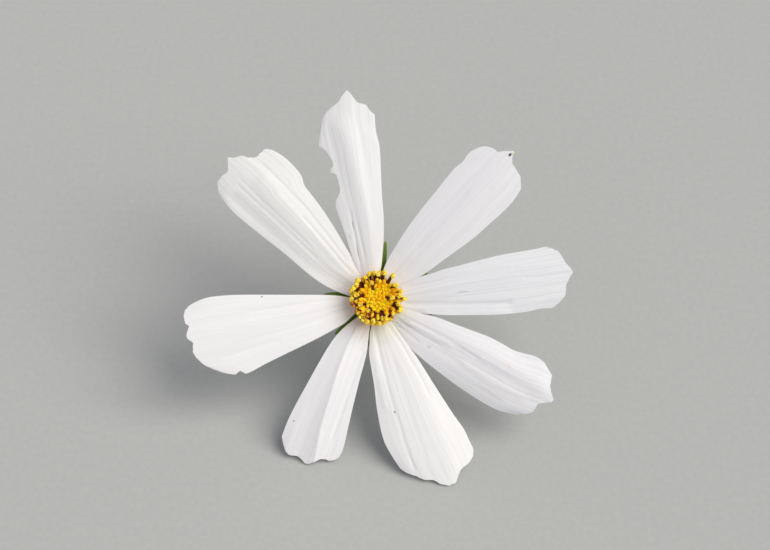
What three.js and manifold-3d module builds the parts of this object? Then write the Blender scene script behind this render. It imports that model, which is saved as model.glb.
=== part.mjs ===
// A white cosmos flower, picked with a short stem and laid down. Millimetres, +Z up.
// The head stands tilted on the tips of its two lowest petals, and the stem curves
// down behind it and lies along the surface. The origin is on that surface, below the
// middle of the flower.
import * as THREE from "three";
import { mergeVertices } from "three/addons/utils/BufferGeometryUtils.js";
import Module from "manifold-3d";

const wasm = await Module();
wasm.setup();

const CLEARANCE = 0.3; // between neighbouring pieces
const FACE_ELEVATION = 50; // degrees from level to the way the face looks
const DISC_HEIGHT = 21.34; // middle of the head above the surface

// Head frame: +Z out of the face, +Y up the face, origin at the middle of the head.
const RECEPTACLE_RIM_RADIUS = 3.9;
const RECEPTACLE_RIM_TOP = -0.2;
const RECEPTACLE_RIM_BOTTOM = -1.25;
const RECEPTACLE_DOME_RISE = 0.7;
const NECK_RADIUS = 1.15;
const NECK_DEPTH = 7;

const PETAL_THICKNESS = 0.4;
const PETAL_FOOT = 4.2; // where a petal's claw starts, from the middle of the head
const PETAL_REACH = 37; // where a petal's tip depth is measured
const PETAL_FOOT_DEPTH = -0.55;
const PETAL_LAP = 0.38; // half the step between an upper and a lower petal
const PETAL_ROWS = 12;

const OUTER_BRACT = { thickness: 0.3, halfWidth: 1.0, start: [3.75, -2.95], bend: [6.5, -1.5], end: [11, -2.7] };
const INNER_BRACT = { thickness: 0.3, halfWidth: 1.75, start: [4.15, -1.8], bend: [6.6, -1.15], end: [10, -1.15] };
const BRACT_ROWS = 8;
// Outer bracts stand in the gaps between petals, inner bracts behind the petals.
const OUTER_BRACT_ANGLES = [82, 27, -18, -58, -104, -140, 176, 126];
const INNER_BRACT_ANGLES = [106, 53, 6, -37, -78, -120, -162, 150];

const BUD_CLUSTER = { baseRadius: 1.25, radius: 2.0, base: 0.85, shoulder: 2.5, top: 3.1, budRadius: 0.42, buds: 24 };

const FLORET_SIDES = 6;
const FLORET_STEPS = 8;
// Open florets in two rings: foot, bend and tip as [radius, depth] in the head frame.
const OUTER_FLORETS = {
  name: "floret_outer",
  foot: 3.1, bend: [3.85, 2.3], tip: [5.2, 3.55],
  angles: [54, 78, 95, 111, 127, 143, 159, 176, 193, 210, 227, 244, 260, 275, 290, 307, 331, 0, 17, 36],
};
const MIDDLE_FLORETS = {
  name: "floret_middle",
  foot: 2.1, bend: [3.15, 2.4], tip: [3.95, 4.3],
  angles: [8, 40, 66, 109, 140, 168, 203, 232, 262, 290, 316, 345],
};

const STEM_RADIUS = 0.9;
const STEM_RIB = 0.07;
const STEM_SIDES = 12;
const STEM_TOUCHDOWN = 36; // level distance from the neck to where the stem meets the surface
const STEM_LAID = 24; // length that lies along the surface
const STEM_DRIFT = -6.6; // sideways place of the cut end

// One entry for each petal, clockwise from the one at the top. angle is the way it
// points, in degrees round the face. Its outline is drawn with the petal upright:
// left and right edges as [along, across] from the foot to the shoulders, the toothed
// end as [across, along] from the left shoulder to the right one. bow lifts the middle
// of its length, tip is the depth of its end, roll tilts it and arch drops its edges.
const PETALS = [
  {
    name: "petal_top", angle: 100, lap: 1, bow: 2, tip: 1.8, roll: 0.02, arch: 0.7,
    left: [[4.2, -2.2], [6.85, -3], [10.2, -3.55], [12.9, -3.85], [17.6, -4.6], [21, -5.1], [25, -5.5], [30.3, -5.85], [31.6, -5.7], [33.8, -5]],
    right: [[4.2, 0.9], [5.8, 1.7], [7.15, 2.1], [9.35, 2.7], [12, 3.3], [14.9, 3.8], [19.1, 4.2], [23, 4.7], [28.2, 5.35], [31.4, 5.2], [34.4, 5.5]],
    end: [[-5, 33.8], [-4.6, 35], [-3.55, 36.5], [-1.9, 37.5], [-1, 37.9], [0.6, 39.5], [1.3, 39.8], [2.2, 38.2], [2.75, 37.3], [4.1, 36.7], [4.7, 35.7], [5.5, 34.4]],
    bites: [
      [[-7, 30.7], [-5.85, 30.3], [-5.2, 29.9], [-4.7, 29.2], [-4.2, 28.1], [-3.85, 27.2], [-3.9, 26.3], [-4.4, 25.9], [-4.6, 25.5], [-7, 25.5]],
      [[-7, 25.5], [-4.6, 25.5], [-4.5, 25.05], [-4, 24.9], [-3.55, 24.4], [-3.4, 23.35], [-3.35, 22], [-3.5, 21.15], [-4, 20.4], [-4.5, 19.8], [-4.8, 18.6], [-7, 18]],
    ],
  },
  {
    name: "petal_upper_right", angle: 47.5, lap: -1, bow: 1.8, tip: 1.6, roll: -0.02, arch: 0.4,
    left: [[4.2, -2.6], [5, -2.95], [7.3, -3.7], [9.5, -4.1], [12, -4.6], [14.9, -5], [19.5, -5.4], [23, -5.6], [28.2, -5.9], [30, -5.6], [32.2, -5.85], [34.1, -5.2]],
    right: [[4.2, 1.6], [8.5, 3.15], [10.2, 3.6], [12.9, 4.1], [17.6, 5.05], [21, 5.7], [25, 6.1], [28, 6.4], [31, 6.45], [33.65, 6]],
    end: [[-5.2, 34.1], [-4.45, 35.1], [-3.1, 35.85], [-1.95, 35.9], [-1.05, 37], [0.3, 38], [1.3, 36.6], [1.95, 35.9], [2.75, 35.85], [4.3, 35.4], [5.1, 34.7], [6, 33.65]],
  },
  {
    name: "petal_right", angle: 7, lap: 1, bow: 2, tip: 1.8, roll: -0.01, arch: 0.5,
    left: [[4.2, -1.8], [8.6, -3.1], [11, -3.5], [13, -3.95], [16, -4.3], [20, -4.85], [25, -5.4], [28.5, -5.55], [31.3, -5.7], [32.8, -5.9]],
    right: [[4.2, 2.2], [8.5, 3.9], [10, 4.2], [12.6, 4.7], [16.5, 5.15], [21.5, 5.7], [25.5, 5.9], [28, 5.9], [30.3, 5.65], [32.7, 5.8]],
    end: [[-5.9, 32.8], [-5.3, 34.2], [-4.6, 35.3], [-3.1, 35.95], [-1.9, 36.6], [-0.5, 37.3], [0.5, 36.65], [1.8, 35.75], [2.7, 35.65], [3.9, 35.3], [5.1, 33.95], [5.8, 32.7]],
  },
  {
    name: "petal_lower_right", angle: -31.5, lap: -1, bow: 1.8, tip: 1.4, roll: 0.03, arch: 0.9,
    left: [[4.2, -1.5], [9, -2.2], [12, -2.95], [15.3, -3.55], [20, -4.5], [22, -4.85], [25.3, -5.05], [27, -5.1], [29, -5.6], [30.7, -6.15], [31.7, -6.3], [33.3, -6.15]],
    right: [[4.2, 2.6], [10.2, 4.7], [12.3, 5.15], [15.5, 5.6], [20.5, 6.1], [24.5, 6.3], [28, 6.3], [30.5, 6.05], [33.6, 5.1]],
    end: [[-6.15, 33.3], [-5.4, 34.6], [-4.9, 35.8], [-3.1, 36.3], [-2, 37.3], [-1.1, 38.35], [-0.5, 38.25], [0.2, 37.2], [1.35, 36.2], [2.3, 36.35], [3.4, 35.9], [5.1, 33.6]],
  },
  {
    name: "petal_bottom_right", angle: -70, lap: 1, bow: 2, tip: 2.15, roll: 0, arch: 0.6,
    left: [[4.2, -0.8], [7, -1.5], [8.8, -2], [10.9, -2.6], [13.5, -3.3], [19.5, -4.6], [25.4, -5.95], [28.8, -6.9], [31, -7.1], [33, -7.3]],
    right: [[4.2, 2.6], [5.5, 3.5], [7.5, 4.3], [9.5, 5.1], [12, 5.6], [15.2, 6.2], [20, 7.3], [25.5, 8.05], [29, 7.6], [31.9, 6.9]],
    end: [[-7.3, 33], [-6.8, 34.3], [-5.8, 35.1], [-3.8, 35.8], [-1.85, 38], [-1.3, 37.85], [-0.7, 38.05], [0.3, 37.4], [1.8, 35.9], [3.6, 35.2], [4.6, 34.1], [6.1, 32.9], [6.9, 31.9]],
  },
  {
    name: "petal_bottom_left", angle: -114.5, lap: -1, bow: 1.6, tip: -1.84, roll: -0.02, arch: 0.3,
    left: [[4.2, -0.5], [6.8, -1.3], [9.5, -2.2], [12, -2.75], [14.8, -3.2], [20, -4.15], [24.7, -5.1], [27.8, -5.75], [29.4, -5.95], [30.7, -5.8]],
    right: [[4.2, 1.6], [6.5, 2.9], [8.2, 3.7], [10.5, 4.4], [13.5, 4.85], [19.8, 5.4], [27.5, 5.9], [31.5, 5.7]],
    end: [[-5.8, 30.7], [-5.2, 31.45], [-4.4, 31.95], [-2.9, 32.05], [-1.4, 33.8], [-0.5, 34.3], [0.3, 33.9], [1.5, 33.65], [2.1, 33.9], [3.1, 34.1], [4.2, 33.5], [5.7, 31.5]],
  },
  {
    name: "petal_left", angle: 193.5, lap: 1, bow: 2, tip: 1.8, roll: 0, arch: 0.3,
    left: [[4.2, -1.4], [5.4, -2.1], [7.2, -3.1], [9.2, -3.7], [13.6, -4.85], [18.4, -5.9], [23.5, -7.1], [27.4, -8.1], [29.5, -7.9], [31.5, -7.2], [32.3, -6.5]],
    right: [[4.2, 1], [6.5, 2], [8.2, 2.6], [12, 3.6], [17, 4.8], [21.5, 5.9], [26.5, 7.05], [31, 7.7], [33.2, 7.5], [35.1, 7]],
    end: [[-6.5, 32.3], [-5.5, 33.8], [-4.6, 35], [-3.2, 36], [-1.7, 36.45], [0.1, 35.95], [0.6, 36.5], [1.6, 36.9], [2.6, 36.4], [3.3, 35.95], [3.85, 36.5], [6.3, 36.1], [7, 35.1]],
  },
  {
    name: "petal_upper_left", angle: 136, lap: -1, bow: 1.8, tip: 1.6, roll: 0.02, arch: 0.8,
    left: [[4.2, -3.4], [6, -4.2], [8, -4.9], [10, -5.4], [12.7, -5.75], [18.5, -6.1], [24.5, -6.7], [30, -7.15], [32, -7.1], [34.8, -6.75]],
    right: [[4.2, 0.5], [7, 1.2], [8.5, 1.9], [10.3, 2.5], [14.2, 3.7], [18.8, 4.8], [23, 5.5], [25, 5.8], [26.1, 6.55], [27.5, 6.9], [29.8, 7.05], [31.9, 6.85], [34, 6.15]],
    end: [[-6.75, 34.8], [-6, 36.2], [-5.3, 37.1], [-3.5, 37.4], [-2.2, 37.3], [-0.4, 39], [0.2, 38.3], [0.7, 37.8], [1.95, 37.15], [3.1, 35.25], [4.4, 35.3], [5.3, 35.1], [6.15, 34]],
  },
];

const radians = THREE.MathUtils.degToRad;
const blend = THREE.MathUtils.smoothstep;

const petalWhite = new THREE.MeshStandardMaterial({ color: 0xe6e4e4, roughness: 0.6, metalness: 0 });
const stemGreen = new THREE.MeshStandardMaterial({ color: 0x6f8f2f, roughness: 0.55, metalness: 0 });
const bractGreen = new THREE.MeshStandardMaterial({ color: 0x55741c, roughness: 0.6, metalness: 0 });
const budYellow = new THREE.MeshStandardMaterial({ color: 0xeaa70b, roughness: 0.6, metalness: 0 });
const floretYellow = new THREE.MeshStandardMaterial({ color: 0xe8c51c, roughness: 0.6, metalness: 0 });

function named(name, geometry, material) {
  const mesh = new THREE.Mesh(geometry, material);
  mesh.name = name;
  return mesh;
}

function toSolid(geometry) {
  const bare = geometry.clone();
  bare.deleteAttribute("normal");
  bare.deleteAttribute("uv");
  const merged = mergeVertices(bare, 1e-5);
  const vertProperties = new Float32Array(merged.attributes.position.array);
  const triVerts = new Uint32Array(merged.index.array);
  return new wasm.Manifold(new wasm.Mesh({ numProp: 3, vertProperties, triVerts }));
}

function toGeometry(solid) {
  const { vertProperties, triVerts, numProp } = solid.getMesh();
  const points = new Float32Array((vertProperties.length / numProp) * 3);
  for (let i = 0; i < points.length / 3; i++) {
    points.set(vertProperties.subarray(i * numProp, i * numProp + 3), i * 3);
  }
  return indexed(points, Array.from(triVerts));
}

function indexed(positions, faces) {
  const geometry = new THREE.BufferGeometry();
  geometry.setAttribute("position", new THREE.Float32BufferAttribute(positions, 3));
  geometry.setIndex(faces);
  geometry.computeVertexNormals();
  return geometry;
}

// A smooth curve through knots [x, y] read at x, level beyond its ends.
function through(knots, x) {
  const last = knots.length - 1;
  if (x <= knots[0][0]) return knots[0][1];
  if (x >= knots[last][0]) return knots[last][1];
  const i = knots.findIndex((knot) => knot[0] > x) - 1;
  const slope = (k) => {
    const [before, after] = [knots[Math.max(k - 1, 0)], knots[Math.min(k + 1, last)]];
    return (after[1] - before[1]) / (after[0] - before[0]);
  };
  const span = knots[i + 1][0] - knots[i][0];
  const t = (x - knots[i][0]) / span;
  const [t2, t3] = [t * t, t * t * t];
  return (
    (2 * t3 - 3 * t2 + 1) * knots[i][1] + (t3 - 2 * t2 + t) * span * slope(i) +
    (3 * t2 - 2 * t3) * knots[i + 1][1] + (t3 - t2) * span * slope(i + 1)
  );
}

// A closed thin sheet: rows of points on its middle surface, from left to right, given
// half the thickness up and down and a wall round the edge.
function sheet(rows, thickness) {
  const [height, width] = [rows.length, rows[0].length];
  const positions = [];
  for (const side of [1, -1]) {
    for (const point of rows.flat()) positions.push(point.x, point.y, point.z + (side * thickness) / 2);
  }
  const under = height * width;
  const at = (row, column) => row * width + column;
  const faces = [];
  for (let row = 0; row < height - 1; row++) {
    for (let column = 0; column < width - 1; column++) {
      const [a, b] = [at(row, column), at(row, column + 1)];
      const [c, d] = [at(row + 1, column + 1), at(row + 1, column)];
      faces.push(a, b, c, a, c, d);
      faces.push(under + a, under + c, under + b, under + a, under + d, under + c);
    }
  }
  const rim = [];
  for (let column = 0; column < width - 1; column++) rim.push(at(0, column));
  for (let row = 0; row < height - 1; row++) rim.push(at(row, width - 1));
  for (let column = width - 1; column > 0; column--) rim.push(at(height - 1, column));
  for (let row = height - 1; row > 0; row--) rim.push(at(row, 0));
  rim.forEach((a, i) => {
    const b = rim[(i + 1) % rim.length];
    faces.push(under + a, under + b, b, under + a, b, a);
  });
  return indexed(positions, faces);
}

// A closed solid along a curve: a ring of points at each step, and a cap at both ends.
// radiusAt takes the share of the length and the number of the point round the ring.
function swept(curve, steps, sides, across, radiusAt) {
  const positions = [];
  const faces = [];
  for (let step = 0; step <= steps; step++) {
    const centre = curve.getPoint(step / steps);
    const ahead = curve.getTangent(step / steps);
    const right = across.clone().addScaledVector(ahead, -across.dot(ahead)).normalize();
    const up = ahead.clone().cross(right);
    for (let k = 0; k < sides; k++) {
      const angle = Math.PI / 2 + (k * 2 * Math.PI) / sides;
      const radius = radiusAt(step / steps, k);
      const point = centre.clone();
      point.addScaledVector(right, radius * Math.cos(angle)).addScaledVector(up, radius * Math.sin(angle));
      positions.push(point.x, point.y, point.z);
    }
  }
  const [first, last] = [positions.length / 3, positions.length / 3 + 1];
  positions.push(...curve.getPoint(0), ...curve.getPoint(1));
  for (let k = 0; k < sides; k++) {
    const next = (k + 1) % sides;
    faces.push(first, next, k, last, steps * sides + k, steps * sides + next);
    for (let step = 0; step < steps; step++) {
      const [a, b] = [step * sides + k, step * sides + next];
      faces.push(a, b, b + sides, a, b + sides, a + sides);
    }
  }
  return indexed(positions, faces);
}

function petalDepth(petal, along, across, share) {
  const t = (along - PETAL_FOOT) / (PETAL_REACH - PETAL_FOOT);
  const profile = (1 - t) ** 2 * PETAL_FOOT_DEPTH + 2 * t * (1 - t) * petal.bow + t * t * petal.tip;
  const lap = petal.lap * PETAL_LAP * (1 - blend(along, 12, 20));
  const free = blend(along, 11, 24);
  const edge = 2 * share - 1;
  return profile + lap + free * (petal.roll * across - petal.arch * edge * edge);
}

function biteCutter(outline) {
  const shape = new THREE.Shape(outline.map(([across, along]) => new THREE.Vector2(across, along)));
  const geometry = new THREE.ExtrudeGeometry(shape, { depth: 20, bevelEnabled: false });
  return toSolid(geometry.translate(0, 0, -10));
}

function makePetal(petal) {
  const rows = [];
  for (let row = 0; row <= PETAL_ROWS; row++) {
    rows.push(petal.end.map(([tipAcross, tipAlong]) => {
      const [low, high] = [through(petal.left, tipAlong), through(petal.right, tipAlong)];
      const share = (tipAcross - low) / (high - low);
      const along = PETAL_FOOT + ((tipAlong - PETAL_FOOT) * row) / PETAL_ROWS;
      const across = THREE.MathUtils.lerp(through(petal.left, along), through(petal.right, along), share);
      return new THREE.Vector3(across, along, petalDepth(petal, along, across, share));
    }));
  }
  let geometry = sheet(rows, PETAL_THICKNESS);
  if (petal.bites) {
    const whole = toSolid(geometry);
    geometry = toGeometry(petal.bites.reduce((rest, outline) => rest.subtract(biteCutter(outline)), whole));
  }
  const mesh = named(petal.name, geometry, petalWhite);
  mesh.rotation.z = radians(petal.angle - 90);
  return mesh;
}

function makeBract(name, size, angle) {
  const spine = new THREE.QuadraticBezierCurve(
    new THREE.Vector2(...size.start), new THREE.Vector2(...size.bend), new THREE.Vector2(...size.end),
  );
  const rows = [];
  for (let row = 0; row <= BRACT_ROWS; row++) {
    const t = row / BRACT_ROWS;
    const middle = spine.getPoint(t);
    const half = Math.max(size.halfWidth * Math.sqrt(1 - t) * (0.8 + 0.5 * t), 0.15);
    rows.push([-1, -0.5, 0, 0.5, 1].map((edge) => new THREE.Vector3(edge * half, middle.x, middle.y)));
  }
  const mesh = named(name, sheet(rows, size.thickness), bractGreen);
  mesh.rotation.z = radians(angle - 90);
  return mesh;
}

function domeHeight(radius) {
  return RECEPTACLE_RIM_TOP + RECEPTACLE_DOME_RISE * (1 - (radius / RECEPTACLE_RIM_RADIUS) ** 2);
}

function makeReceptacle() {
  const profile = [
    [0, -NECK_DEPTH], [NECK_RADIUS, -NECK_DEPTH], [NECK_RADIUS + 0.1, -6.1], [1.75, -5], [2.7, -3.95],
    [3.3, -3.05], [3.7, -2.1], [RECEPTACLE_RIM_RADIUS, RECEPTACLE_RIM_BOTTOM],
    [RECEPTACLE_RIM_RADIUS, RECEPTACLE_RIM_TOP], [3, domeHeight(3)], [2, domeHeight(2)], [0, domeHeight(0)],
  ];
  const geometry = new THREE.LatheGeometry(profile.map(([r, z]) => new THREE.Vector2(r, z)), 24);
  return named("receptacle", geometry.rotateX(Math.PI / 2), bractGreen);
}

// The closed buds in the middle of the disc: one mass, its buds set on a spiral.
function makeBudCluster() {
  const { baseRadius, radius, base, shoulder, top, budRadius, buds } = BUD_CLUSTER;
  const profile = [[0, base], [baseRadius, base], [radius, shoulder], [radius * 0.7, top - 0.15], [0, top]];
  const core = new THREE.LatheGeometry(profile.map(([r, z]) => new THREE.Vector2(r, z)), 16);
  let cluster = toSolid(core.rotateX(Math.PI / 2));
  const goldenAngle = Math.PI * (3 - Math.sqrt(5));
  for (let i = 0; i < buds; i++) {
    const out = Math.sqrt((i + 0.5) / buds);
    const bud = new THREE.SphereGeometry(budRadius, 8, 5).rotateX(Math.PI / 2);
    const height = top - (top - shoulder) * out * out;
    bud.translate(radius * out * Math.cos(i * goldenAngle), radius * out * Math.sin(i * goldenAngle), height);
    cluster = cluster.add(toSolid(bud));
  }
  return named("bud_cluster", toGeometry(cluster), budYellow);
}

// Radius of an open floret along its length: corolla tube, flared mouth, anthers, tip.
const FLORET_PROFILE = [[0, 0.26], [0.4, 0.33], [0.55, 0.4], [0.66, 0.3], [0.86, 0.27], [0.94, 0.36], [1, 0.26]];

function makeFloret(name, ring, angle) {
  const foot = [ring.foot, domeHeight(ring.foot) + CLEARANCE + 0.05];
  const out = new THREE.Vector3(Math.cos(radians(angle)), Math.sin(radians(angle)), 0);
  const [start, bend, end] = [foot, ring.bend, ring.tip].map(([radius, depth]) => (
    out.clone().multiplyScalar(radius).setZ(depth)
  ));
  const side = new THREE.Vector3(-out.y, out.x, 0);
  const curve = new THREE.QuadraticBezierCurve3(start, bend, end);
  const radiusAt = (share) => through(FLORET_PROFILE, share);
  return named(name, swept(curve, FLORET_STEPS, FLORET_SIDES, side, radiusAt), floretYellow);
}

function makeHead() {
  const head = new THREE.Group();
  head.add(makeReceptacle(), makeBudCluster());
  for (const petal of PETALS) head.add(makePetal(petal));
  OUTER_BRACT_ANGLES.forEach((angle, i) => head.add(makeBract(`bract_outer_${i + 1}`, OUTER_BRACT, angle)));
  INNER_BRACT_ANGLES.forEach((angle, i) => head.add(makeBract(`bract_inner_${i + 1}`, INNER_BRACT, angle)));
  for (const ring of [OUTER_FLORETS, MIDDLE_FLORETS]) {
    ring.angles.forEach((angle, i) => head.add(makeFloret(`${ring.name}_${i + 1}`, ring, angle)));
  }
  head.rotation.x = radians(90 - FACE_ELEVATION);
  head.position.z = DISC_HEIGHT;
  return head;
}

// The stem leaves the neck straight back from the face, bends down to the surface and
// lies along it. Its top swells to meet the neck.
function makeStem() {
  const back = new THREE.Vector3(0, Math.cos(radians(FACE_ELEVATION)), -Math.sin(radians(FACE_ELEVATION)));
  const neck = back.clone().multiplyScalar(NECK_DEPTH + CLEARANCE).add(new THREE.Vector3(0, 0, DISC_HEIGHT));
  const drop = neck.z - STEM_RADIUS;
  const landing = new THREE.Vector3(STEM_DRIFT * 0.55, neck.y + STEM_TOUCHDOWN, STEM_RADIUS);
  const cutEnd = new THREE.Vector3(STEM_DRIFT, landing.y + STEM_LAID, STEM_RADIUS);
  const along = new THREE.Vector3().subVectors(cutEnd, landing).normalize();
  const bend = new THREE.CubicBezierCurve3(
    neck,
    neck.clone().addScaledVector(back, drop * 0.75),
    landing.clone().addScaledVector(along, -STEM_TOUCHDOWN * 0.45),
    landing,
  );
  const route = new THREE.CurvePath();
  route.add(bend);
  route.add(new THREE.LineCurve3(landing, cutEnd));
  const swell = (share) => 1 + 0.25 * (1 - blend(share, 0, 0.08));
  const radiusAt = (share, k) => (STEM_RADIUS - (k % 2) * STEM_RIB) * swell(share);
  return named("stem", swept(route, 30, STEM_SIDES, new THREE.Vector3(1, 0, 0), radiusAt), stemGreen);
}

const flower = new THREE.Group();
flower.add(makeHead(), makeStem());
flower.updateMatrixWorld(true);
const box = new THREE.Box3().setFromObject(flower, true);
const middle = box.getCenter(new THREE.Vector3());
flower.position.set(-middle.x, -middle.y, -box.min.z);

export default flower;
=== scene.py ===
import math
import random

import bmesh
import bpy
from mathutils import Matrix, Vector


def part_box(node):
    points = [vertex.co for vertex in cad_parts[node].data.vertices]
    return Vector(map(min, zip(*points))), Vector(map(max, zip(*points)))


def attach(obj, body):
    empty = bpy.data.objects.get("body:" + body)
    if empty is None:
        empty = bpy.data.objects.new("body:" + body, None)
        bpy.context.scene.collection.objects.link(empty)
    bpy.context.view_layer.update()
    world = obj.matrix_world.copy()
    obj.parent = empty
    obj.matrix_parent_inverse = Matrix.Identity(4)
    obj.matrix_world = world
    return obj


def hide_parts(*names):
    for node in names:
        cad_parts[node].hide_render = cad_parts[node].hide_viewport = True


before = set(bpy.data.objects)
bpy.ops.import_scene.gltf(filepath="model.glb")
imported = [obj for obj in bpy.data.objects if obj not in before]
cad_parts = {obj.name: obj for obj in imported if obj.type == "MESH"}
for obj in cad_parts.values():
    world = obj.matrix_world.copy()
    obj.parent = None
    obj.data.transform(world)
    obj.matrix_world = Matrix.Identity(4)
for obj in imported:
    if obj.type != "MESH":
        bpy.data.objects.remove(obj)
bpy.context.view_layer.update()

# ------------------------------------------------------------------------------------
# How the flower lies. Its head leans back with its face 50 degrees above level, and the
# middle of the head is found from the frame's receptacle, whose rim has this radius and
# depth. The head's pieces are modelled in millimetres, face up, and settled into it.
MM = 0.001
FACE_ELEVATION = math.radians(50)
RIM_RADIUS = 3.9
RIM_TOP = -0.2
FACING = Vector((0, -math.cos(FACE_ELEVATION), math.sin(FACE_ELEVATION)))
UP_THE_FACE = Vector((0, math.sin(FACE_ELEVATION), math.cos(FACE_ELEVATION)))
cup_low, cup_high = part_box("receptacle")
HEAD_MIDDLE = Vector((
    (cup_low.x + cup_high.x) / 2,
    cup_low.y + (RIM_RADIUS * UP_THE_FACE.y - RIM_TOP * FACING.y) * MM,
    cup_high.z - (RIM_RADIUS * UP_THE_FACE.z + RIM_TOP * FACING.z) * MM,
))
LEAN = Matrix.Rotation(math.pi / 2 - FACE_ELEVATION, 4, "X")
HEAD = Matrix.Translation(HEAD_MIDDLE) @ LEAN @ Matrix.Scale(MM, 4)

# ------------------------------------------------------------------------------------
# The stem: a cut length of green stalk with shallow ribs, bent down from the head to
# the surface and lying along it. Its cut end shows pale, moist pith.
STEM_START = 6.4
STEM_RADIUS = 0.9
STEM_RIB_SHARE = 0.9
STEM_SIDES = 24
STEM_STEPS = 80
STEM_TOUCHDOWN = 36
STEM_LAID = 24
STEM_DRIFT = -6.6
STEM_SWELL = 1.3
STEM_SWELL_LENGTH = 7
DRIFT_AT_LANDING = 0.55
NECK_PULL = 0.75
LANDING_PULL = 0.45
LAID_PULL = 8
SKIN_THICKNESS = 0.05
PITH_SLOPE = 0.2
PITH_SUNK = 0.12
FIBRES_PER_METRE = 2600
BLOTCHES_PER_METRE = 130


def alone(piece):
    """Only this piece is selected, and it is the active one."""
    bpy.ops.object.select_all(action="DESELECT")
    piece.select_set(True)
    bpy.context.view_layer.objects.active = piece


def pick(piece, wanted):
    """Selects, in edit mode, the vertices whose place wanted says yes to."""
    mesh = bmesh.from_edit_mesh(piece.data)
    for vertex in mesh.verts:
        vertex.select_set(wanted(vertex.co))
    mesh.select_flush_mode()
    bmesh.update_edit_mesh(piece.data)


def finish_with(piece, kind, **settings):
    """Gives the piece a modifier and applies it."""
    alone(piece)
    modifier = piece.modifiers.new(kind.lower(), kind)
    for name, value in settings.items():
        setattr(modifier, name, value)
    bpy.ops.object.modifier_apply(modifier=modifier.name)


def extrude(way, share=1, middle=(0, 0, 0)):
    """Extrudes what is selected, and widens or narrows the new end about its middle."""
    bpy.ops.mesh.extrude_region_move(TRANSFORM_OT_translate={"value": way})
    if share != 1:
        bpy.ops.transform.resize(value=(share, share, 1), center_override=middle)


def round_off(piece):
    finish_with(piece, "SUBSURF", levels=1, render_levels=1)


def smooth(piece, crease=40):
    alone(piece)
    bpy.ops.object.shade_smooth_by_angle(angle=math.radians(crease))


def settle(piece, place, slot, *nodes):
    """Moves the piece to its place, in its mesh, hangs it from the root body and hides the frame's parts
    that it stands for.
    """
    alone(piece)
    piece.matrix_world = place
    bpy.ops.object.transform_apply(location=True, rotation=True, scale=True)
    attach(piece, "root")
    if nodes:
        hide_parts(*nodes)


def paint(code):
    """An sRGB hex colour, such as f2f0ee, as the linear colour that a shader takes."""
    parts = [int(code[i:i + 2], 16) / 255 for i in (0, 2, 4)]
    linear = [c / 12.92 if c <= 0.04045 else ((c + 0.055) / 1.055) ** 2.4 for c in parts]
    return (*linear, 1)


def new_finish(name, **shader_values):
    """A material with these values on its shader's own sockets."""
    finish = bpy.data.materials.new(name)
    finish.use_nodes = True
    shader = finish.node_tree.nodes["Principled BSDF"]
    for socket, value in shader_values.items():
        shader.inputs[socket.replace("_", " ")].default_value = value
    return finish


def add(finish, kind, sockets, output=0, stops=(), **settings):
    """Adds a node with these settings, with values or other nodes' outputs for its
    sockets and with (place, colour) stops for its ramp. Gives back this output of it."""
    tree = finish.node_tree
    node = tree.nodes.new("ShaderNode" + kind)
    for name, value in settings.items():
        setattr(node, name, value)
    for socket, value in sockets.items():
        if isinstance(value, bpy.types.NodeSocket):
            tree.links.new(value, node.inputs[socket])
        else:
            node.inputs[socket].default_value = value
    if stops:
        ramp = node.color_ramp.elements
        while len(ramp) < len(stops):
            ramp.new(1)
        for stop, (place, code) in zip(ramp, stops):
            stop.position = place
            stop.color = paint(code)
    return node.outputs[output]


def wire(finish, output, socket):
    shader = finish.node_tree.nodes["Principled BSDF"]
    finish.node_tree.links.new(output, shader.inputs[socket])


def give_grain(finish, kind, sockets, stops, strength, depth, place=None):
    """Colours a finish by a pattern on the piece, and raises it by the same pattern."""
    place = place or add(finish, "TexCoord", {}, "Object")
    pattern = add(finish, kind, {"Vector": place, **sockets})
    raised = add(finish, "Bump", {"Height": pattern, "Strength": strength, "Distance": depth})
    wire(finish, add(finish, "ValToRGB", {0: pattern}, stops=stops), "Base Color")
    wire(finish, raised, "Normal")


# Fresh stalk: a waxy green skin with long yellower fibres and a faint reddish flush. It
# gives a soft satin shine.
stalk = new_finish("fresh green stalk", Roughness=0.45, IOR=1.42, Subsurface_Weight=0.15,
                   Subsurface_Scale=0.0006, Coat_Weight=0.15, Coat_Roughness=0.35)
stalk_place = add(stalk, "TexCoord", {}, "Object")
long_way = add(stalk, "Mapping", {"Vector": stalk_place, "Scale": (1, 0.05, 0.6)})
fibres = add(stalk, "TexNoise", {"Vector": long_way, "Scale": FIBRES_PER_METRE, "Detail": 4})
blotches = add(stalk, "TexNoise", {"Vector": stalk_place, "Scale": BLOTCHES_PER_METRE})
green = add(stalk, "ValToRGB", {0: fibres}, stops=[(0.3, "5d7d26"), (0.7, "93ad4c")])
flush = add(stalk, "ValToRGB", {0: blotches}, stops=[(0.4, "ffffff"), (0.75, "e6cba6")])
flushed = add(stalk, "Mix", {0: 1.0, 6: green, 7: flush}, 2, data_type="RGBA", blend_type="MULTIPLY")
ridged = add(stalk, "Bump", {"Height": fibres, "Strength": 0.4, "Distance": 0.00005})
wire(stalk, flushed, "Base Color")
wire(stalk, ridged, "Normal")

# Cut pith: wet, spongy and nearly white, with a grain of about a fifth of a millimetre.
pith = new_finish("moist cut pith", Roughness=0.35, IOR=1.35, Subsurface_Weight=0.3,
                  Subsurface_Scale=0.0005)
give_grain(pith, "TexVoronoi", {"Scale": 5000}, [(0.2, "dfe6bd"), (0.8, "b4c583")],
           strength=0.4, depth=0.00004)


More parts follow.
